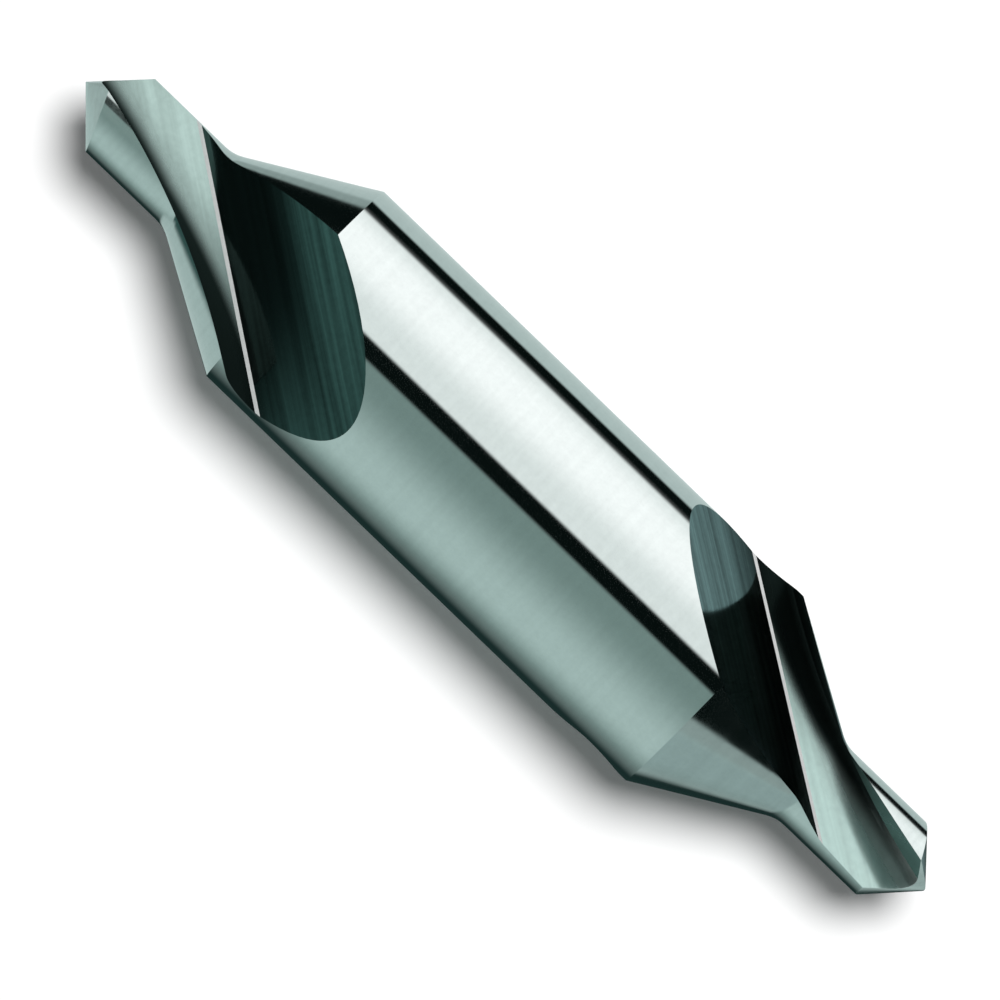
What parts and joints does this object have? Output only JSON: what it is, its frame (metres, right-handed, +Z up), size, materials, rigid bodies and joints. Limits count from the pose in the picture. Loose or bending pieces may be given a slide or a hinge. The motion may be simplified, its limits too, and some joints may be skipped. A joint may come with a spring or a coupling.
{
  "type": "centre drill",
  "caption": "Double-ended centre drill: a short fluted pilot drill and countersink cone at each end of a plain cylindrical body, ground from one bar of steel.",
  "frame": {"origin": "middle of the cylindrical body, on its axis", "axes": "+X along the axis towards one tip, +Z up out of the side that the picture shows"},
  "size_m": [0.0728, 0.016, 0.016],
  "materials": {
    "ground_steel": "bright ground, with grinding lines along the flutes"
  },
  "bodies": {
    "root": {"drill": "ground_steel"}
  },
  "joints": []
}
